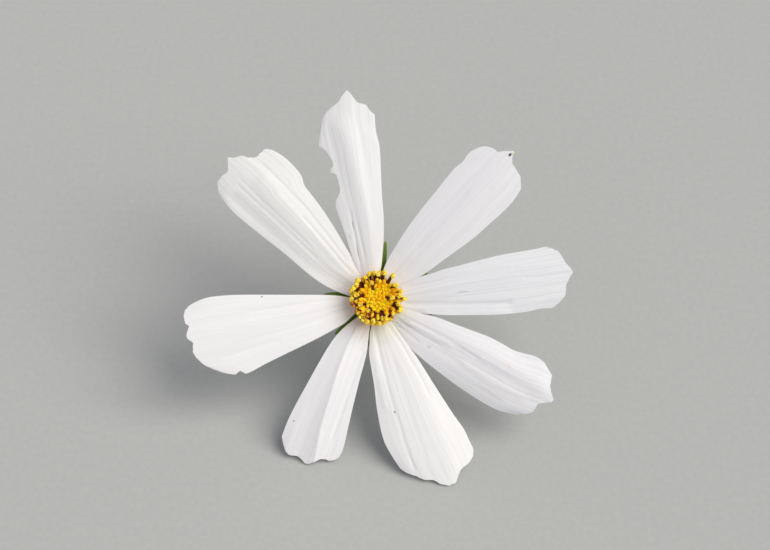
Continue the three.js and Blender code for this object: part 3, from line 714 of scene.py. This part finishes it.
def pleat_lengthways(blade, petal, low, high, draw):
    """Each column takes its tooth's length, its height in the arch and its fine pleat.
    The length is drawn out for what the bow takes up."""
    end = [((across - low) / (high - low), along) for across, along in petal["end"]]
    middle_reach = sum(along for _, along in end) / len(end)
    pleats = [(knot / PLEATS, random.uniform(-PLEAT_HEIGHT, PLEAT_HEIGHT)) for knot in range(PLEATS + 1)]
    for column in range(PETAL_COLUMNS + 1):
        share = column / PETAL_COLUMNS
        length = straight(end, share) - PETAL_FOOT + random.uniform(-RAGGED_BY, RAGGED_BY)
        edge = 2 * share - 1
        height = petal["roll"] * mix(low, high, share) - petal["arch"] * edge * edge
        height += TOOTH_PLEAT * (length + PETAL_FOOT - middle_reach) + through(pleats, share)
        pick_line(blade, 0, share)
        bpy.ops.transform.resize(value=(1, length * draw, 1), center_override=(0, 0, 0))
        bpy.ops.transform.translate(value=(0, 0, height))


def narrow_to_outline(blade, petal):
    """Each row takes the outline's width there, and its pleats run out towards the foot."""
    left_length = petal["left"][-1][0] - PETAL_FOOT
    right_length = petal["right"][-1][0] - PETAL_FOOT
    for row in range(PETAL_ROWS + 1):
        share = row / PETAL_ROWS
        left = through(petal["left"], PETAL_FOOT + left_length * share)
        right = through(petal["right"], PETAL_FOOT + right_length * share)
        free = mix(PLEATS_AT_FOOT, 1, ease(left_length * share, FLAT_AS_FAR_AS, FREE_FROM))
        pick_line(blade, 1, share)
        bpy.ops.transform.resize(value=(right - left, 1, free), center_override=(0, 0, 0))
        bpy.ops.transform.translate(value=((left + right) / 2, PETAL_FOOT, 0))


def press_folds(blade, folds, falloff):
    for height, half_width, points in folds:
        pick(blade, lambda place: off_line(place, points) < FOLD_LINE)
        bpy.ops.transform.translate(value=(0, 0, height), use_proportional_edit=True,
                                    proportional_edit_falloff=falloff, proportional_size=half_width)


def keep_flat_places(blade):
    """A second UV map keeps each place in millimetres, for the marks."""
    flat = blade.data.uv_layers.new(name="millimetres")
    for loop in blade.data.loops:
        flat.data[loop.index].uv = blade.data.vertices[loop.vertex_index].co.xy


def bite(blade, outline):
    """Cuts away what lies inside the outline."""
    bpy.ops.mesh.primitive_circle_add(vertices=len(outline), fill_type="NGON")
    cutter = bpy.context.object
    for vertex, (across, along) in zip(cutter.data.vertices, outline):
        vertex.co = (across, along, -BITE_DEPTH / 2)
    bpy.ops.object.mode_set(mode="EDIT")
    bpy.ops.mesh.select_all(action="SELECT")
    extrude((0, 0, BITE_DEPTH))
    close_up()
    finish_with(blade, "BOOLEAN", operation="DIFFERENCE", object=cutter)
    bpy.data.objects.remove(cutter)


random.seed(8)
for petal in PETALS:
    low, high = petal["end"][0][0], petal["end"][-1][0]
    blade = start_blade(f"{petal['name']}_petal", PETAL_COLUMNS, PETAL_ROWS, petal_finish(petal))
    foot = Vector((0, PETAL_FOOT, PETAL_FOOT_DEPTH + petal["lap"] * PETAL_LAP))
    crown = Vector((0, (PETAL_FOOT + PETAL_REACH) / 2, petal["bow"]))
    tip = Vector((0, PETAL_REACH, petal["tip"]))
    shares = [step / BOW_STEPS for step in range(BOW_STEPS + 1)]
    bow = [foot.lerp(crown, share).lerp(crown.lerp(tip, share), share) for share in shares]
    draw = sum((b - a).length for a, b in zip(bow, bow[1:])) / (PETAL_REACH - PETAL_FOOT)
    pleat_lengthways(blade, petal, low, high, draw)
    narrow_to_outline(blade, petal)
    press_folds(blade, petal["folds"], "SMOOTH")
    press_folds(blade, petal.get("creases", []), "SHARP")
    bpy.ops.object.mode_set(mode="OBJECT")
    keep_flat_places(blade)
    round_off(blade)
    finish_with(blade, "SOLIDIFY", thickness=PETAL_THICKNESS, offset=0)
    for outline in petal.get("bites", []):
        bite(blade, outline)
    blade.data.transform(Matrix.Translation((0, -PETAL_FOOT, 0)))
    rise = Vector((0, 0, petal["lap"] * PETAL_LAP))
    bend_along(blade, [
        (foot * 2 - crown, foot, foot.lerp(crown, 2 / 3) + rise / 3),
        (tip.lerp(crown, 2 / 3), tip, tip * 2 - crown),
    ])
    smooth(blade, 60)
    turn = Matrix.Rotation(math.radians(petal["angle"] - 90), 4, "Z")
    settle(blade, HEAD @ turn, "petal", f"petal_{petal['name']}")

# ------------------------------------------------------------------------------------
# The open disc florets. Each is a yellow tube that a dark maroon column of anthers
# leans out of, tipped with a clump of yellow pollen. They grew from the cup's dome and
# open from its rim inwards, so the youngest are still plain yellow tubes.
DOME_RISE = 0.7
FLORET_LENGTH = 3.95
LOBES = 5
FLORET_SIDES = 2 * LOBES
TUBE_FOOT = 0.2
TUBE_WAIST = 0.24
TUBE_WALL = 0.06
LOBE_LIFT = 0.12
LOBE_BROADENS = 1.3
LOBE_POINT = 0.25
POLLEN_GRAINS = 0.07
GIRTHS = (0.85, 1.15)
UNEVEN_BY = 0.2
RIM_TIP_HEIGHT = 3.6
TIP_RISE_INWARDS = 0.35
YOUNG_DROP = 0.4
YOUNG_SEAM = 0.14
ONE_SIDE = (7.3, 3.1, 11.7)
# Each is the way it leans, in degrees round the face, the distances of its foot and its
# tip from the middle, and its kind. The first ones stand for the frame's florets, in order.
FLORETS = [
    (58, 2.6, 5.55, "shedding"), (76, 3, 5.3, "shedding"), (96.5, 3, 5.2, "shedding"),
    (108, 3.3, 5.2, "shedding"), (119, 2.9, 4.85, "shedding"), (141, 3, 5.25, "shedding"),
    (162, 3.4, 5.25, "shedding"), (182, 2.7, 5.15, "shedding"), (191, 3.2, 5.2, "spent"),
    (210, 3.2, 4.9, "spent"), (226, 2.9, 5, "star"), (246, 3, 5.2, "shedding"),
    (257, 3.2, 4.9, "shedding"), (270, 3.3, 5, "star"), (291, 3, 4.9, "young"),
    (309, 3, 4.7, "spent"), (334, 2.5, 5.1, "shedding"), (1.3, 3.1, 5.5, "shedding"),
    (16.5, 3.1, 4.95, "shedding"), (35, 2.9, 4.5, "shedding"), (1, 1.1, 3, "shedding"),
    (48, 2.4, 3.95, "young"), (68, 2.5, 3.8, "young"), (110.5, 1.6, 3.5, "star"),
    (133, 2.4, 3.6, "young"), (170, 2.1, 4.4, "shedding"), (201, 2.1, 3.75, "star"),
    (233, 1.6, 3.2, "star"), (261, 2.2, 4.5, "shedding"), (284, 1.9, 4.2, "star"),
    (318, 2.6, 4.3, "shedding"), (346, 2.7, 4.4, "shedding"), (89, 3.1, 4.95, "shedding"),
    (84, 3.5, 5.4, "young"), (103, 3.5, 5.35, "young"), (113, 3.4, 5, "young"),
    (128, 3.4, 5.05, "young"), (136, 3.4, 5.45, "shedding"), (146, 2.8, 4.95, "shedding"),
    (153.5, 3, 5.3, "shedding"), (158, 3.5, 5.15, "young"), (168, 3.4, 5.15, "young"),
    (175, 3.5, 5, "star"), (187, 2.8, 4.5, "young"), (197, 3.3, 4.9, "spent"),
    (203, 2.8, 4.4, "young"), (216, 3.3, 4.8, "star"), (221, 2.5, 4, "young"),
    (236, 3.3, 5.1, "star"), (240, 2.5, 4, "spent"), (251, 3.4, 5.2, "young"),
    (263, 3.4, 5.2, "young"), (277, 3.3, 5, "shedding"), (284, 3.4, 5.1, "young"),
    (294, 2.3, 4.4, "shedding"), (302, 3, 4.8, "shedding"), (313, 2.9, 4.3, "young"),
    (324, 3.2, 4.7, "young"), (329, 3.3, 5.1, "young"), (341, 3.3, 5, "young"),
    (352, 2.7, 4.3, "young"), (356, 3.2, 4.8, "young"), (7, 2.8, 4.6, "shedding"),
    (23, 2.4, 3.6, "young"), (25, 3, 4.4, "young"), (83, 2.4, 3.6, "young"),
    (161, 2.7, 3.9, "young"), (253, 2.6, 3.7, "young"), (271, 2.7, 4, "young"),
    (30, 2.6, 3.8, "young"), (13, 2.7, 4, "young"), (150, 2.5, 3.7, "young"),
    (194, 2.6, 3.8, "young"), (211, 2.6, 3.9, "young"), (231, 2.8, 4.2, "young"),
    (124, 2.7, 4.1, "young"), (301, 2.4, 3.7, "young"), (325, 2.6, 3.9, "young"),
    (90, 2.7, 3.9, "young"), (182, 2.3, 3.6, "young"),
]
FRAME_FLORETS = [f"floret_outer_{number}" for number in range(1, 21)]
FRAME_FLORETS += [f"floret_middle_{number}" for number in range(1, 13)]

# Corolla: thin petal tissue full of yellow pigment, a little orange in places.
corolla_yellow = new_finish("yellow corolla tissue", Roughness=0.5, IOR=1.4, Subsurface_Weight=0.3,
                            Subsurface_Scale=0.0004)
# Pollen: dry yellow grains. They are too fine to show, so they are drawn as clumps a few
# tenths of a millimetre across.
pollen_yellow = new_finish("clumped yellow pollen", Roughness=0.9, IOR=1.5, Subsurface_Weight=0.2,
                           Subsurface_Scale=0.0003)
# Anthers: a papery dark maroon tube with a dull shine.
anther_maroon = new_finish("maroon anther tube", Roughness=0.5, IOR=1.4)
# Spent corolla: withered to a rusty orange brown.
spent_brown = new_finish("withered corolla", Roughness=0.7, IOR=1.4)
for tissue, grains_per_metre, dark, light in (
    (corolla_yellow, 1500, "f2a806", "ffd81c"), (pollen_yellow, 2400, "f0b00a", "fff050"),
    (anther_maroon, 2600, "240604", "641c0c"), (spent_brown, 1500, "8a3a0c", "d9921c"),
):
    give_grain(tissue, "TexNoise", {"Scale": grains_per_metre, "Detail": 3},
               [(0.35, dark), (0.62, light)], strength=0.6, depth=0.00006)


def draw_in(piece, share, sink):
    """Draws every second side of a round piece in towards its middle line and down."""
    pick(piece, lambda place: round(math.atan2(place.y, place.x) / math.tau * FLORET_SIDES) % 2 == 1)
    bpy.ops.transform.resize(value=(share, share, 1), center_override=(0, 0, 0))
    bpy.ops.transform.translate(value=(0, 0, -sink))
    bpy.ops.mesh.select_all(action="SELECT")


def make_corolla(name, finish, mouth_height, mouth_radius, reach, droop):
    """An open tube with five pointed lobes round its mouth, given a wall's thickness."""
    tube = start_ring(name, FLORET_SIDES, (TUBE_FOOT, 0), finish)
    bpy.ops.mesh.delete(type="ONLY_FACE")
    bpy.ops.mesh.select_all(action="SELECT")
    grow([(TUBE_FOOT, 0), (TUBE_WAIST, mouth_height * 0.45), (mouth_radius * 0.82, mouth_height * 0.75),
          (mouth_radius, mouth_height)])
    for lobe in range(LOBES):
        way = Vector((math.cos(lobe * math.tau / LOBES), math.sin(lobe * math.tau / LOBES), 0))
        rim = way * mouth_radius + Vector((0, 0, mouth_height))
        half_out = way * reach * 0.5
        middle = rim + half_out + Vector((0, 0, LOBE_LIFT))
        pick(tube, lambda place: (place.z > mouth_height - 0.01
                                  and (place - rim).length < 0.65 * mouth_radius))
        extrude(middle - rim, LOBE_BROADENS, middle)
        extrude(half_out - Vector((0, 0, droop)), LOBE_POINT, middle + half_out)
    bpy.ops.object.mode_set(mode="OBJECT")
    finish_with(tube, "SOLIDIFY", thickness=TUBE_WALL, offset=0)
    round_off(tube)
    return tube


def roughen(offset, uniform, normal, seed):
    """Moves the vertices a little at random. They are first sorted by how far they lie
    from the cursor, set to one side, so that every run moves each of them alike."""
    cursor = bpy.context.scene.cursor
    cursor.location = ONE_SIDE
    bpy.ops.mesh.sort_elements(type="CURSOR_DISTANCE", elements={"VERT"})
    cursor.location = (0, 0, 0)
    bpy.ops.transform.vertex_random(offset=offset, uniform=uniform, normal=normal, seed=seed)


def make_lobed(name, finish, stations, share, roughness, seed, grains=0, sink=0):
    """A closed form with five lobes, such as fused anthers, a bud or a clump of pollen.
    Grains roughens it again at a finer scale, and sink deepens its seams."""
    form = start_ring(name, FLORET_SIDES, stations[0], finish)
    grow(stations)
    bpy.ops.mesh.select_all(action="SELECT")
    draw_in(form, share, sink)
    roughen(roughness, 0.5, 0.5, seed)
    if grains:
        bpy.ops.mesh.subdivide(number_cuts=1, smoothness=1)
        roughen(grains, 0.2, 0.8, seed)
    close_up()
    round_off(form)
    return form


def joined(name, *parts):
    """One piece from several, on the first one's mesh."""
    bpy.ops.object.select_all(action="DESELECT")
    for part in parts:
        part.select_set(True)
    bpy.context.view_layer.objects.active = parts[0]
    bpy.ops.object.join()
    parts[0].name = name
    smooth(parts[0], 50)
    return parts[0]


ANTHERS = [(0.2, 1), (0.3, 1.4), (0.34, 2), (0.34, 3), (0.31, 3.5), (0.16, 3.6)]
POLLEN = [(0.2, 3.4), (0.4, 3.48), (0.51, 3.67), (0.47, 3.9), (0.3, 4.08), (0.1, 4.14)]
STIGMA = [(0.15, 3.4), (0.26, 3.55), (0.34, 3.75), (0.24, 3.95), (0.1, 4.05)]
YOUNG = [(0.26, 0), (0.34, 0.9), (0.42, 2), (0.48, 3), (0.48, 3.4), (0.37, 3.73), (0.19, 3.92),
         (0.06, 4)]


def open_floret(name, tissue, mouth, clump_finish, stations, share, roughness, seed):
    """A corolla, its column of anthers and the pollen or stigma that tops it."""
    return joined(
        name,
        make_corolla("tube", tissue, *mouth),
        make_lobed("column", anther_maroon, ANTHERS, 0.84, 0, 1),
        make_lobed("clump", clump_finish, stations, share, roughness, seed, grains=POLLEN_GRAINS),
    )


# A mouth is its height, its radius, and its lobes' reach and droop.
LOW_MOUTH = (2.05, 0.46, 0.5, -0.1)
HIGH_MOUTH = (3.55, 0.3, 0.42, 0.05)
SPENT_MOUTH = (2.9, 0.32, 0.4, 0.15)
KINDS = {}
for kind, tissue, mouth, clump, stations, share, roughness, seeds in (
    ("shedding", corolla_yellow, LOW_MOUTH, pollen_yellow, POLLEN, 0.52, 0.18, (4, 7, 11)),
    ("star", pollen_yellow, HIGH_MOUTH, pollen_yellow, STIGMA, 0.5, 0.06, (9, 14)),
    ("spent", spent_brown, SPENT_MOUTH, spent_brown, STIGMA, 0.6, 0.1, (2,)),
):
    KINDS[kind] = [
        open_floret(f"{kind}_floret_{seed}", tissue, mouth, clump, stations, share, roughness, seed)
        for seed in seeds
    ]
KINDS["young"] = [make_lobed("young_floret", corolla_yellow, YOUNG, 0.74, 0.02, 6, sink=YOUNG_SEAM)]


def dome_height(radius):
    return RIM_TOP + DOME_RISE * (1 - (radius / RIM_RADIUS) ** 2)


def lean_out(piece, foot, tip, height, length, girth):
    """Stretches and bends an upright piece of this length, so that its tip leans out
    from over the foot to this height."""
    rise = height - dome_height(foot)
    lean = 2 * math.atan2(tip - foot, rise)
    stretch = lean * rise / math.sin(lean) / length
    own_turn = Matrix.Rotation(random.uniform(0, math.tau), 4, "Z")
    piece.data.transform(Matrix.Diagonal((girth, girth, stretch, 1)) @ own_turn)
    smooth(piece, 50)
    finish_with(piece, "SIMPLE_DEFORM", deform_method="BEND", deform_axis="Y", angle=lean)


random.seed(13)
for number, (angle, foot, tip, kind) in enumerate(FLORETS, 1):
    floret = copy_of(random.choice(KINDS[kind]), f"{kind}_disc_floret_{number}")
    height = RIM_TIP_HEIGHT + TIP_RISE_INWARDS * (5 - tip) + random.uniform(-UNEVEN_BY, UNEVEN_BY)
    if kind == "young":
        height -= YOUNG_DROP
    lean_out(floret, foot, tip, height, FLORET_LENGTH, random.uniform(*GIRTHS))
    place = Matrix.Rotation(math.radians(angle), 4, "Z") @ Matrix.Translation((foot, 0, dome_height(foot)))
    settle(floret, HEAD @ place, "disc_floret", *FRAME_FLORETS[number - 1:number])
for masters in KINDS.values():
    for master in masters:
        bpy.data.objects.remove(master)

# ------------------------------------------------------------------------------------
# The chaff: thin dry scales, straw-coloured, that stand on the cup among the open
# florets and lean out with them. They grew from the cup's dome.
SCALES = 44
SCALE_FOOT = 3.15
SCALE_TIP = 4.5
SCALE_HEIGHT = 3.1
SCALE_LENGTH = 3.4
SCALE_STATIONS = [(0.16, 0), (0.24, 0.8), (0.26, 1.8), (0.2, 2.7), (0.1, 3.25), (0.03, 3.4)]
SCALE_FLATNESS = 0.3

# Straw scale: papery, dry and a little see-through, with fine brown flecks.
straw = new_finish("straw chaff scale", Roughness=0.6, IOR=1.4, Subsurface_Weight=0.4,
                   Subsurface_Scale=0.0004)
give_grain(straw, "TexNoise", {"Scale": 2200, "Detail": 2}, [(0.35, "e3ae2c"), (0.6, "f8e08a")],
           strength=0.4, depth=0.00005)

scale_master = make_lobed("chaff_scale", straw, SCALE_STATIONS, 0.9, 0.01, 3)
random.seed(31)
scales = []
for number in range(SCALES):
    scale = copy_of(scale_master, f"chaff_scale_{number}")
    scale.data.transform(Matrix.Diagonal((1, SCALE_FLATNESS, 1, 1)))
    foot = SCALE_FOOT + random.uniform(-0.5, 0.3)
    tip = SCALE_TIP + random.uniform(-0.6, 0.4)
    lean_out(scale, foot, tip, SCALE_HEIGHT + random.uniform(-0.3, 0.3), SCALE_LENGTH, 1)
    turn = Matrix.Rotation((number + random.uniform(-0.3, 0.3)) * math.tau / SCALES, 4, "Z")
    scale.data.transform(turn @ Matrix.Translation((foot, 0, dome_height(foot))))
    scales.append(scale)
bpy.data.objects.remove(scale_master)
settle(joined("chaff_scales", *scales), HEAD, "receptacle")

# ------------------------------------------------------------------------------------
# The closed buds in the middle of the disc: waxy orange florets that have still to
# open, packed on a spiral. Each has five seams where its lobes will part.
BUDS = 62
BUD_SPREAD = 3.2
BUD_TOP = 3.4
BUD_DROP = 0.35
BUD_SEAM = 0.16
BUD_LEAN = math.radians(28)
BUD_STATIONS = [(0.3, -2.4), (0.46, -1.6), (0.56, -0.95), (0.58, -0.5), (0.52, -0.22), (0.36, 0),
                (0.18, 0.14), (0.05, 0.2)]
COLUMN_ROOM = 0.33
COLUMN_BARE_FROM = 0.35
GOLDEN_ANGLE = math.pi * (3 - math.sqrt(5))

# Closed bud: a waxy orange yellow that varies from bud to bud, with a low gloss.
bud_orange = new_finish("waxy orange bud", Roughness=0.6, IOR=1.35, Subsurface_Weight=0.5,
                        Subsurface_Scale=0.0005)
give_grain(bud_orange, "TexNoise", {"Scale": 600, "Detail": 3},
           [(0.3, "fbb004"), (0.5, "ffc406"), (0.7, "ffda12")], strength=0.5, depth=0.0001)

bud = make_lobed("closed_bud", bud_orange, BUD_STATIONS, 0.7, 0.01, 3, sink=BUD_SEAM)
columns = []
for angle, foot, tip, kind in FLORETS:
    if kind != "young":
        way = Vector((math.cos(math.radians(angle)), math.sin(math.radians(angle))))
        columns.append((way * mix(foot, tip, COLUMN_BARE_FROM), way * tip))
random.seed(5)
buds = []
for number in range(BUDS):
    out = math.sqrt((number + 0.5) / BUDS)
    size = random.uniform(0.9, 1.12)
    turn = Matrix.Rotation(number * GOLDEN_ANGLE, 4, "Z")
    spot = turn @ Vector((BUD_SPREAD * out, 0, 0))
    if any(off_line(spot, column) < COLUMN_ROOM for column in columns):
        continue
    height = BUD_TOP - BUD_DROP * out * out + random.uniform(-0.1, 0.1)
    place = (
        turn
        @ Matrix.Translation((BUD_SPREAD * out, 0, height))
        @ Matrix.Rotation(BUD_LEAN * out, 4, "Y")
        @ Matrix.Rotation(random.uniform(0, math.tau), 4, "Z")
        @ Matrix.Diagonal((size, size, 1, 1))
    )
    one = copy_of(bud, f"closed_bud_{number}")
    one.data.transform(place)
    buds.append(one)
bpy.data.objects.remove(bud)
settle(joined("closed_buds", *buds), HEAD, "disc_bud", "bud_cluster")

# ------------------------------------------------------------------------------------
# The studio: a plain pale card that the flower lies on, which takes its shadow, in soft
# window light from the upper right of the face. A weak reflector stands across from it,
# in a bright, even surround.
FLOOR_SIZE = 4
floor_card = new_finish("plain pale card", Roughness=0.9)
card_place = add(floor_card, "TexCoord", {}, "Object")
card_grain = add(floor_card, "TexNoise", {"Vector": card_place, "Scale": 900, "Detail": 2})
card_tint = add(floor_card, "ValToRGB", {0: card_grain}, stops=[(0.3, "b2b5b1"), (0.7, "b6b8b4")])
wire(floor_card, card_tint, "Base Color")
bpy.ops.mesh.primitive_plane_add(size=FLOOR_SIZE)
floor = bpy.context.object
floor.name = "floor"
floor.data.materials.append(floor_card)

scene = bpy.context.scene
scene.view_settings.view_transform = "Standard"
scene.world = bpy.data.worlds.new("studio")
scene.world.use_nodes = True
surround = scene.world.node_tree.nodes["Background"].inputs
surround["Color"].default_value = paint("f0f0ff")
surround["Strength"].default_value = 0.42

ACROSS_THE_FACE = Vector((1, 0, 0))
for name, colour, strength, softness, way in (
    ("window_light", "fffbf4", 2.6, 50, FACING * 0.707 + ACROSS_THE_FACE * 0.61 + UP_THE_FACE * 0.36),
    ("reflector", "fff6ee", 0.15, 90, FACING * 0.6 - ACROSS_THE_FACE * 0.7 - UP_THE_FACE * 0.4),
):
    light = bpy.data.lights.new(name, "SUN")
    light.energy = strength
    light.angle = math.radians(softness)
    light.color = paint(colour)[:3]
    holder = bpy.data.objects.new(name, light)
    way = way.normalized()
    holder.location = HEAD_MIDDLE + way
    holder.rotation_euler = way.to_track_quat("Z", "Y").to_euler()
    scene.collection.objects.link(holder)

# ------------------------------------------------------------------------------------
# The camera looks straight down on the face. In its 770 by 550 picture the middle of the
# head lies a little left of the centre and below it.
FRAME_WIDTH = 146.3
CAMERA_DISTANCE = 450
SENSOR = 36
MIDDLE_LEFT_OF_CENTRE = 1.425
MIDDLE_BELOW_CENTRE = 4.465
aim = HEAD_MIDDLE + (ACROSS_THE_FACE * MIDDLE_LEFT_OF_CENTRE + UP_THE_FACE * MIDDLE_BELOW_CENTRE) * MM
camera = bpy.data.objects.new("camera", bpy.data.cameras.new("camera"))
camera.location = aim + FACING * CAMERA_DISTANCE * MM
camera.rotation_euler = LEAN.to_euler()
camera.data.sensor_width = SENSOR
camera.data.lens = SENSOR * CAMERA_DISTANCE / FRAME_WIDTH
camera.data.clip_start = 0.01
scene.collection.objects.link(camera)
scene.camera = camera
